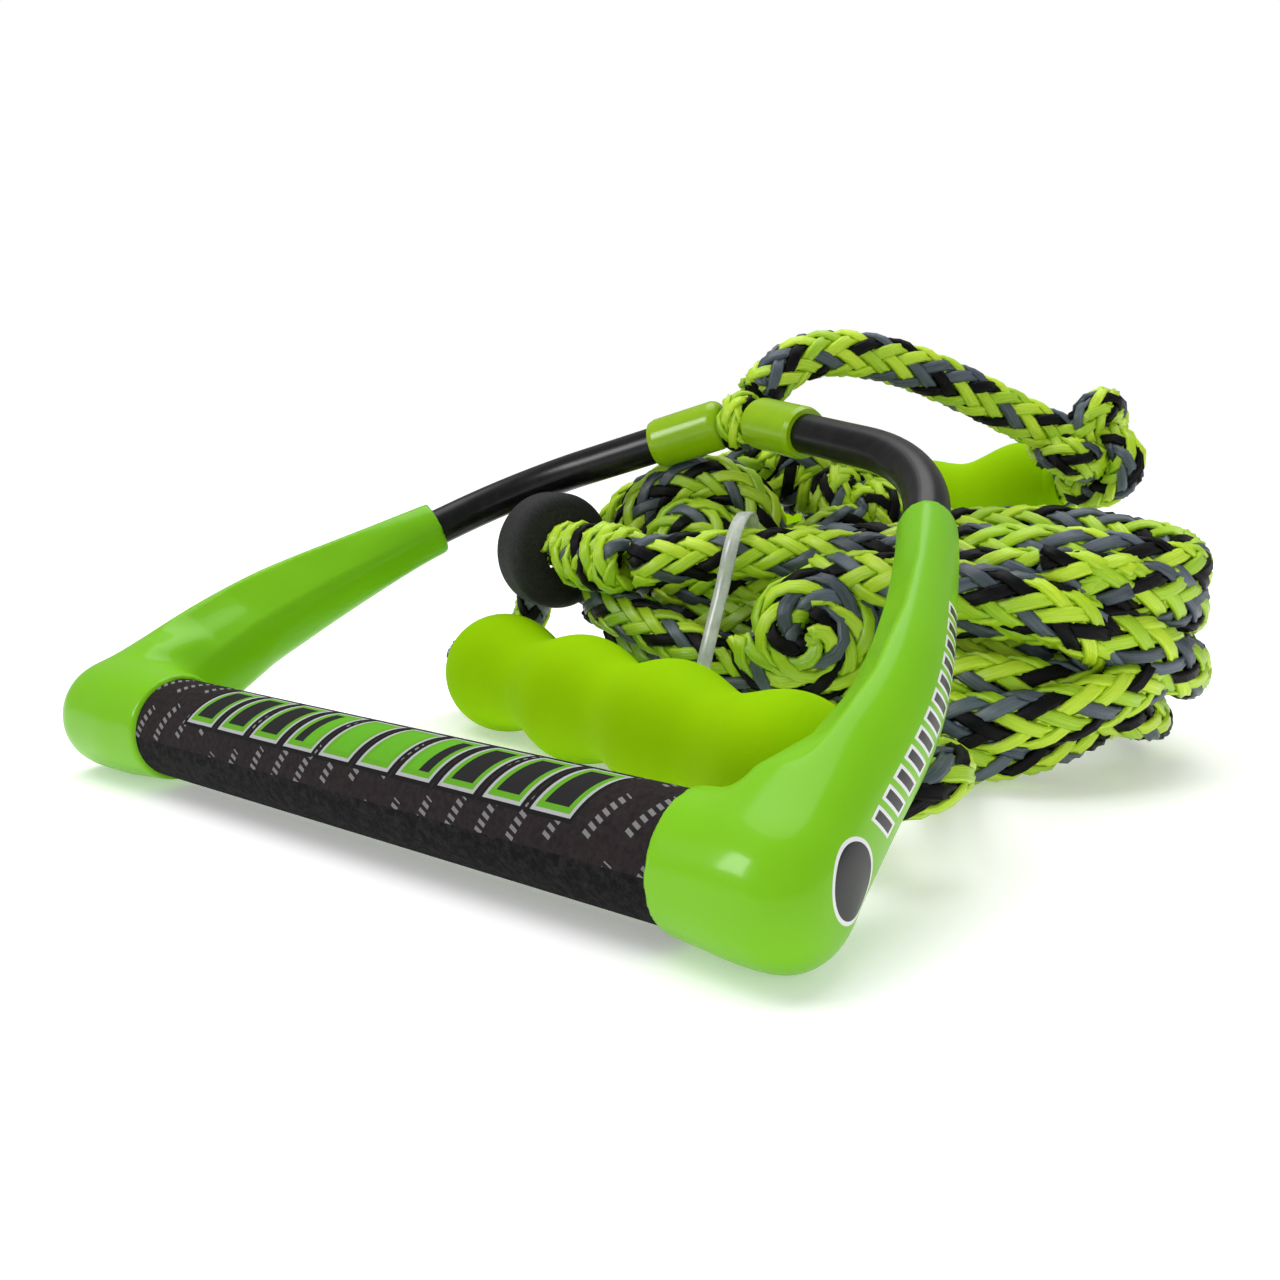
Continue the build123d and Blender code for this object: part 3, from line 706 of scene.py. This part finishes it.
# ---------------------------------------------------------------- the line: tail, floats' line, knots
ball = knot("ball_knot_braid", at(77, 289, 100), scale=5.4, lift=1.7, facing=(0.62, -0.72, 0.3),
            spin=0.5, seed=5, stands_for=("ball_knot",), wide=7.8 * MM, thin=6.8 * MM)
free_stretch("tail_braid", TAIL, length=0.185, seed=1, stands_for=("tail_rope", "knot_link_rope"),
             pieces=[ball], wide=8.2 * MM, thin=7.4 * MM)
FLOAT_ROPE = {"wide": 7.8 * MM, "thin": 7 * MM}
free_stretch("float_line_braid", FLOAT_LINE, length=0.424, seed=2, **FLOAT_ROPE,
             stands_for=("near_link_rope", "far_link_rope", "front_float_rope", "front_donut_rope"))
through_float = smooth_path([on_axis(BACK_FLOAT, FLOAT_AXIS, along) for along in (-112, -40, 40, 104)])
rope_piece("back_float_line_braid", through_float, seed=6, stands_for=("back_float_rope",), **FLOAT_ROPE)
rope_piece("line_eye_braid", eye_line(), seed=7, stands_for=("line_eye",), wide=4.8 * MM,
           thin=3.1 * MM, pitch=36 * MM, hint=(1, 0, 0), per_hand=4)
front_barrel = wound_knot("front_barrel_braid", on_axis(FRONT_DONUT, FRONT_AXIS, 11.5),
                          on_axis(FRONT_DONUT, FRONT_AXIS, 50), turns=4.6, seed=81,
                          stands_for=("front_barrel_knot",))
back_barrel = wound_knot("back_barrel_braid", on_axis(BACK_DONUT, BACK_AXIS, -37),
                         on_axis(BACK_DONUT, BACK_AXIS, -12), turns=3.2, seed=82,
                         stands_for=("back_barrel_knot", "back_donut_rope"))
wound_knot("back_float_knot_braid", on_axis(BACK_FLOAT, FLOAT_AXIS, -129),
           on_axis(BACK_FLOAT, FLOAT_AXIS, -107), turns=2.8, seed=83, stands_for=("back_float_knot",))

# ---------------------------------------------------------------- the line: bights over the hank
swirl = rope_piece("front_swirl_braid", swirl_line(**SWIRL), seed=71, wide=8.8 * MM,
                   thin=7.4 * MM, pitch=96 * MM)
for number, points in enumerate(INNER_STRANDS):
    rope_piece(f"inner_strand_braid_{number + 1}", smooth_path(points), seed=66 + number,
               wide=8.4 * MM, thin=6.8 * MM)
pile = knot("pile_knot_braid", at(26, 196, 76), scale=5.0, lift=1.5, facing=(0.3, -0.6, 0.7),
            spin=1.1, seed=72, wide=7.4 * MM, thin=6.2 * MM)
inner = rope_piece("inner_bight_braid", smooth_path(INNER_BIGHT), seed=64, wide=8 * MM, thin=6 * MM)
BIGHT = {"wide": 8.4 * MM, "thin": 6.4 * MM}
free_stretch("over_strand_braid", OVER_STRAND, length=0.254, seed=61, **BIGHT,
             pieces=[front_barrel, back_barrel])
free_stretch("under_strand_braid", UNDER_STRAND, length=0.146, seed=62, **BIGHT)
free_stretch("front_bight_braid", FRONT_BIGHT, length=0.143, seed=60, wide=8.8 * MM, thin=7 * MM,
             pieces=[swirl])
free_stretch("high_bight_braid", HIGH_BIGHT, length=0.111, seed=63, **BIGHT, pieces=[inner])
free_stretch("left_bight_braid", LEFT_BIGHT, length=0.113, seed=65, **BIGHT)
free_stretch("top_strand_braid", TOP_STRAND, length=0.137, seed=66, **BIGHT, pieces=[pile])

# ---------------------------------------------------------------- the line: hank, rear coil, boat loop
for number, (first, last, length, stands_for) in enumerate(HANK_PARTS):
    wound_stretch(f"hank_braid_{number + 1}", wound_points(HANK, HANK_TURNS, first, last),
                  seed=10 + number, roll_seed=number, roll=0.35, stands_for=(stands_for,))
wound_stretch("rear_coil_braid", wound_points(COIL, COIL_TURNS, 0, len(COIL_TURNS)),
              seed=20, roll_seed=9, roll=0.2, stands_for=("rear_coil",))
splice = rope_piece("loop_splice_braid", smooth_path(LOOP_SPLICE), seed=22, wide=8.8 * MM,
                    thin=8.0 * MM)
free_stretch("boat_loop_braid", LOOP_LINE, length=0.201, seed=21, stands_for=("boat_loop",),
             pieces=[splice], wide=7.4 * MM, thin=7.0 * MM)


# ---------------------------------------------------------------- the tie
def tie_ribbon():
    """The clear band, wrapped round the strands at the front of the hank."""
    # Places round the strands: across the hank, and up.
    section = ((-46, 2), (-60, 3), (-63, 18), (-62, 34), (-58, 48), (-54, 60), (-53, 72), (-47, 80),
               (-37, 81), (-29, 76), (-26, 60), (-24, 30), (-25, 8), (-32, 2), (-46, 2))
    along_hank, slant, slant_from = 12, 0.16, 40
    foot, u_way, v_way = (Vector(HANK[key]) for key in ("foot", "u", "v"))
    line = smooth_path([at(*(foot + u_way * (along_hank + slant * (z - slant_from)) + v_way * v
                             + Vector((0, 0, z)))) for v, z in section], 2.2 * MM)
    way = unit_rows(np.gradient(line, axis=0))
    across = np.array(u_way)
    out = unit_rows(np.cross(across, way))
    half, thick = 2.5 * MM, 0.5 * MM
    profile = ((-1, 0), (-0.86, 1), (0.86, 1), (1, 0), (0.86, -1), (-0.86, -1))
    rings = np.stack([line + across * (a * half) + out * (b * thick) for a, b in profile], 1)
    build = bmesh.new()
    grid = [[build.verts.new(p) for p in ring] for ring in rings]
    for ring, after in zip(grid, grid[1:]):
        for k in range(len(profile)):
            beside = (k + 1) % len(profile)
            build.faces.new((ring[k], ring[beside], after[beside], after[k]))
    build.faces.new(grid[0][::-1])
    build.faces.new(grid[-1])
    mesh = bpy.data.meshes.new("tie_ribbon")
    build.to_mesh(mesh)
    build.free()
    for polygon in mesh.polygons:
        polygon.use_smooth = True
    piece = add_object("tie_ribbon", mesh)
    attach(piece, "line")
    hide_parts("tie_band")
    return piece


tie = tie_ribbon()


# ---------------------------------------------------------------- the handle's mouldings
def evaluated_mesh(holder):
    bpy.context.view_layer.update()
    return bpy.data.meshes.new_from_object(holder.evaluated_get(bpy.context.evaluated_depsgraph_get()))


def root_hull(side, name):
    """The swept root of an arm: the hull of a ring of the barrel and a section of the arm, so that
    the outer face runs on from the arm down to the barrel's end."""
    barrel_rings = ((113, 17.2), (127, 17.6), (135.5, 14.6), (139.5, 8))     # along the bar, radius
    arm_sections = ((34, 123.6, 13.6, 16.6), (50, 123.4, 12.0, 16.0))        # as in ARM
    points_round = 28
    sign = OUTWARD[side]
    lean = math.radians(LEAN[side])
    along = Vector((0, math.cos(lean), math.sin(lean)))
    thick = Vector((0, -math.sin(lean), math.cos(lean)))
    centre = Vector((0, 0, BAR_HEIGHT))
    build = bmesh.new()
    for step in range(points_round):
        turn = step * 2 * math.pi / points_round
        c, s = math.cos(turn), math.sin(turn)
        for x, radius in barrel_rings:
            spot = centre + Vector((sign * x, 0, 0)) + (along * c + thick * s) * radius
            build.verts.new(at(*spot))
        for rise, x, half_width, half_thick in arm_sections:
            rounded = Vector((sign * (x + half_width * math.copysign(abs(c) ** 0.8, c)), 0, 0))
            spot = centre + rounded + along * rise + thick * (half_thick * math.copysign(abs(s) ** 0.9, s))
            build.verts.new(at(*spot))
    bmesh.ops.convex_hull(build, input=build.verts)
    mesh = bpy.data.meshes.new(name)
    build.to_mesh(mesh)
    build.free()
    return mesh


def weigh_root(piece, side):
    """Mark what the broad smoothing reaches: the arm's root, but not the mouth, whose edge stays
    sharp."""
    lean = math.radians(LEAN[side])
    root_x, root_rise = 118, 22
    reach, fade = 46, 18                # from the root outwards
    mouth_edge, mouth_fade = 3, 8       # from the mouth inwards
    root = at(OUTWARD[side] * root_x, root_rise * math.cos(lean), BAR_HEIGHT + root_rise * math.sin(lean))
    group = piece.vertex_groups.new(name="root")
    for vertex in piece.data.vertices:
        away = (vertex.co - root).length / MM
        from_mouth = abs(vertex.co.x - FOOT.x) / MM - MOUTH_X[side]
        weight = min(1, max(0, (reach - away) / fade))
        group.add([vertex.index], weight * min(1, max(0, (from_mouth - mouth_edge) / mouth_fade)), "REPLACE")


def flatten_top(mesh, side):
    """Give an arm a flat top that slopes from its outer edge down to a crease on its inner side.
    Angles go round the arm's section from its inner side over its top; radii are shares of it."""
    crease, top, under = math.radians(18), math.radians(100), math.radians(-50)
    crease_radius = 0.86
    begins, grows = 17, 18                  # up the arm
    tip, fades, least = 125, 35, 0.3        # and at its end
    lean = math.radians(LEAN[side])
    sign = OUTWARD[side]
    bar_middle = np.array(at(0, 0, BAR_HEIGHT))
    places = np.empty(3 * len(mesh.vertices))
    mesh.vertices.foreach_get("co", places)
    x, y, z = ((places.reshape(-1, 3) - bar_middle) / MM).T
    rise = y * math.cos(lean) + z * math.sin(lean)
    up = z * math.cos(lean) - y * math.sin(lean)
    middle, half_width, half_thick = (np.interp(rise, ARM[:, 0], ARM[:, k]) for k in (1, 2, 3))
    inward = middle - sign * x
    angle = np.arctan2(up / half_thick, inward / half_width)
    start = crease_radius * np.array((math.cos(crease), math.sin(crease)))
    slope = np.array((math.cos(top), math.sin(top))) - start
    chord = ((start[0] * slope[1] - start[1] * slope[0])
             / (np.cos(angle) * slope[1] - np.sin(angle) * slope[0] + 1e-9))
    below = 1 - (1 - crease_radius) * np.clip((angle - under) / (crease - under), 0, 1) ** 2
    radius = np.where((angle > crease) & (angle < top), chord, np.where(angle <= crease, below, 1))
    weight = np.clip((rise - begins) / grows, 0, 1) * np.clip((tip - rise) / fades, least, 1)
    share = 1 + (radius - 1) * weight
    inward, up = inward * share, up * share
    moved = np.stack([sign * (middle - inward), rise * math.cos(lean) - up * math.sin(lean),
                      rise * math.sin(lean) + up * math.cos(lean)], 1)
    mesh.vertices.foreach_set("co", (moved * MM + bar_middle).ravel())


def moulding(side):
    """The moulded end of the bar and its arm, in one flowing skin."""
    name = f"{side}_moulding_skin"
    node = bpy.data.objects[f"{side}_end_moulding"]
    build = bmesh.new()
    build.from_mesh(node.data)
    build.from_mesh(root_hull(side, name + "_root"))
    mesh = bpy.data.meshes.new(name)
    build.to_mesh(mesh)
    build.free()
    piece = add_object(name, mesh)
    remesh = piece.modifiers.new("remesh", "REMESH")
    remesh.mode = "VOXEL"
    remesh.voxel_size = 1.1 * MM
    piece.data = evaluated_mesh(piece)
    piece.modifiers.clear()
    weigh_root(piece, side)
    broad = piece.modifiers.new("broad", "SMOOTH")
    broad.iterations = 60
    broad.factor = 0.8
    broad.vertex_group = "root"
    fine = piece.modifiers.new("fine", "SMOOTH")
    fine.iterations = 5
    fine.factor = 0.6
    piece.data = evaluated_mesh(piece)
    piece.modifiers.clear()
    piece.vertex_groups.clear()
    flatten_top(piece.data, side)
    for polygon in piece.data.polygons:
        polygon.use_smooth = True
    piece.data.materials.clear()
    piece.data.materials.append(moulded_green(side))
    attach(piece, "handle")
    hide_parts(f"{side}_end_moulding")


for side in ("right", "left"):
    moulding(side)


# ---------------------------------------------------------------- the grip
def stitch_rows(n, along, around):
    """Where the grip's ticks are: dashes of short ticks in slanting rows, each shifted from the last."""
    slope = math.radians(62)
    row_pitch, row_shift, dash_pitch, tick_pitch = 8.5, 7.3, 21.0, 2.1
    dash_share, half_row, tick_share = 0.62, 0.135, 0.5
    c, s = math.cos(slope), math.sin(slope)
    p = n.math("ADD", n.math("MULTIPLY", along, c), n.math("MULTIPLY", around, s))
    q = n.math("SUBTRACT", n.math("MULTIPLY", around, c), n.math("MULTIPLY", along, s))
    rows = n.math("DIVIDE", q, row_pitch)
    shifted = n.math("ADD", p, n.math("MULTIPLY", n.math("FLOOR", rows), row_shift))
    dash = n.math("LESS_THAN", n.math("FRACT", n.math("DIVIDE", shifted, dash_pitch)), dash_share)
    across = n.math("ABSOLUTE", n.math("SUBTRACT", n.math("FRACT", rows), 0.5))
    mark = n.math("MULTIPLY", dash, n.math("LESS_THAN", across, half_row))
    ticks = n.math("LESS_THAN", n.math("FRACT", n.math("DIVIDE", shifted, tick_pitch)), tick_share)
    return n.math("MULTIPLY", mark, ticks)


def grip_print():
    """Charcoal fabric on the grip, with rows of pale stitch-like ticks and a row of outlined
    slanted bars along its middle, of which those at the very middle are green inside."""
    grip_radius = 15.0
    row_along, row_around, half_row, half_green = 9.0, 16.8, 75.0, 22.5
    pitch, slant, half_bar, half_height = 15.0, -0.35, 0.40, 8.6
    n = Nodes("grip_charcoal_fabric")
    x, y, z = n.from_bar()
    # The way round the bar, from the side that faces away from the bridle up over the top.
    around = n.math("MULTIPLY", n.math("ARCTAN2", z, n.math("MULTIPLY", y, -1.0)), grip_radius)
    height = n.math("SUBTRACT", around, row_around)
    slanted = n.math("ADD", n.math("SUBTRACT", x, row_along), n.math("MULTIPLY", height, slant))
    share = n.math("FRACT", n.math("DIVIDE", slanted, pitch))
    from_middle = n.math("ABSOLUTE", n.math("SUBTRACT", share, 0.5))
    in_bar = n.math("MULTIPLY", n.math("SUBTRACT", half_bar, from_middle), pitch)
    in_height = n.math("SUBTRACT", half_height, n.math("ABSOLUTE", height))
    depth = n.math("MINIMUM", in_bar, in_height)
    in_row = n.math("LESS_THAN", n.math("ABSOLUTE", slanted), half_row)
    weave = n.noise(n.place(), 700.0, 3.0, 0.6)
    cloth = n.mix(n.ramp(weave, 0.3, 0.7), (0.014, 0.010, 0.011), (0.028, 0.021, 0.022))
    colour = n.mix(stitch_rows(n, x, around), cloth, (0.20, 0.20, 0.20))
    for inset, ink in ((-1.1, (0.010, 0.010, 0.010)), (0.0, (0.42, 0.43, 0.43)),
                       (0.9, (0.120, 0.360, 0.020)), (2.4, (0.020, 0.020, 0.020))):
        inked = n.math("MULTIPLY", in_row, n.math("GREATER_THAN", depth, inset))
        colour = n.mix(inked, colour, ink)
    green = n.math("MULTIPLY", inked, n.math("LESS_THAN", n.math("ABSOLUTE", slanted), half_green))
    colour = n.mix(green, colour, (0.120, 0.400, 0.020))
    n.bump(weave, 0.3, 0.0004)
    return n.finish(Base_Color=colour, Roughness=0.75, Specular_IOR_Level=0.08)


def grip_under():
    """The rough black strip along the underside of the grip."""
    n = Nodes("grip_black_fabric")
    loops = n.noise(n.place(), 420.0, 5.0, 0.75)
    colour = n.mix(n.ramp(loops, 0.42, 0.72), (0.003, 0.003, 0.003), (0.026, 0.024, 0.026))
    n.bump(loops, 0.9, 0.0012)
    return n.finish(Base_Color=colour, Roughness=0.85, Specular_IOR_Level=0.12)


def plain_rubber():
    n = Nodes("black_rubber")
    grain = n.noise(n.place(), 500.0, 3.0)
    colour = n.mix(n.ramp(grain, 0.3, 0.7), (0.012, 0.012, 0.012), (0.022, 0.022, 0.022))
    n.bump(grain, 0.2, 0.0003)
    return n.finish(Base_Color=colour, Roughness=0.6)


def bare_aluminium():
    n = Nodes("aluminium_bar")
    drawn = n.noise(n.place((0.02, 1, 1)), 2500.0, 2.0)
    colour = n.mix(drawn, (0.62, 0.63, 0.65), (0.78, 0.79, 0.80))
    n.bump(drawn, 0.1, 0.0001)
    return n.finish(Base_Color=colour, Metallic=1.0, Roughness=0.32)


def inner_foam():
    n = Nodes("closed_cell_foam")
    cells = n.noise(n.place(), 1400.0, 3.0)
    colour = n.mix(cells, (0.10, 0.10, 0.11), (0.22, 0.22, 0.23))
    n.bump(cells, 0.5, 0.0005)
    return n.finish(Base_Color=colour, Roughness=0.8)


def clear_tie():
    """Whitish translucent plastic, with fine draw marks along it."""
    n = Nodes("clear_plastic")
    marks = n.noise(n.place(), 260.0, 3.0)
    colour = n.mix(n.ramp(marks, 0.3, 0.7), (0.62, 0.66, 0.62), (0.88, 0.90, 0.88))
    n.bump(marks, 0.15, 0.0003)
    return n.finish(Base_Color=colour, Roughness=0.22, Transmission_Weight=0.45, IOR=1.45)


def small_cord():
    """The bridle's own cord, seen only at the gap between its sleeves."""
    n = Nodes("bridle_cord")
    yarns = n.noise(n.place(), 420.0, 2.0)
    colour = n.mix(n.ramp(yarns, 0.45, 0.55), (0.012, 0.012, 0.013), (0.24, 0.50, 0.02))
    n.bump(yarns, 0.8, 0.001)
    return n.finish(Base_Color=colour, Roughness=0.55)


FINISHES = (
    (sleeve_green, ("left_apex_sleeve", "right_apex_sleeve")),
    (tube_black, ("left_bridle_tube", "right_bridle_tube")),
    (float_foam, ("front_float", "back_float")),
    (foam_black, ("front_donut", "back_donut")),
    (grip_print, ("grip_top_panel",)),
    (grip_under, ("grip_under_panel",)),
    (plain_rubber, ("grip_foam", "left_bar_bung", "right_bar_bung")),
    (bare_aluminium, ("bar_tube",)),
    (inner_foam, ("bar_foam_core",)),
    (small_cord, ("bridle_rope", "bridle_splice")),
)
for make, nodes in FINISHES:
    finish = make()
    for node in nodes:
        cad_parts[node].data.materials[0] = finish

tie.data.materials.append(clear_tie())
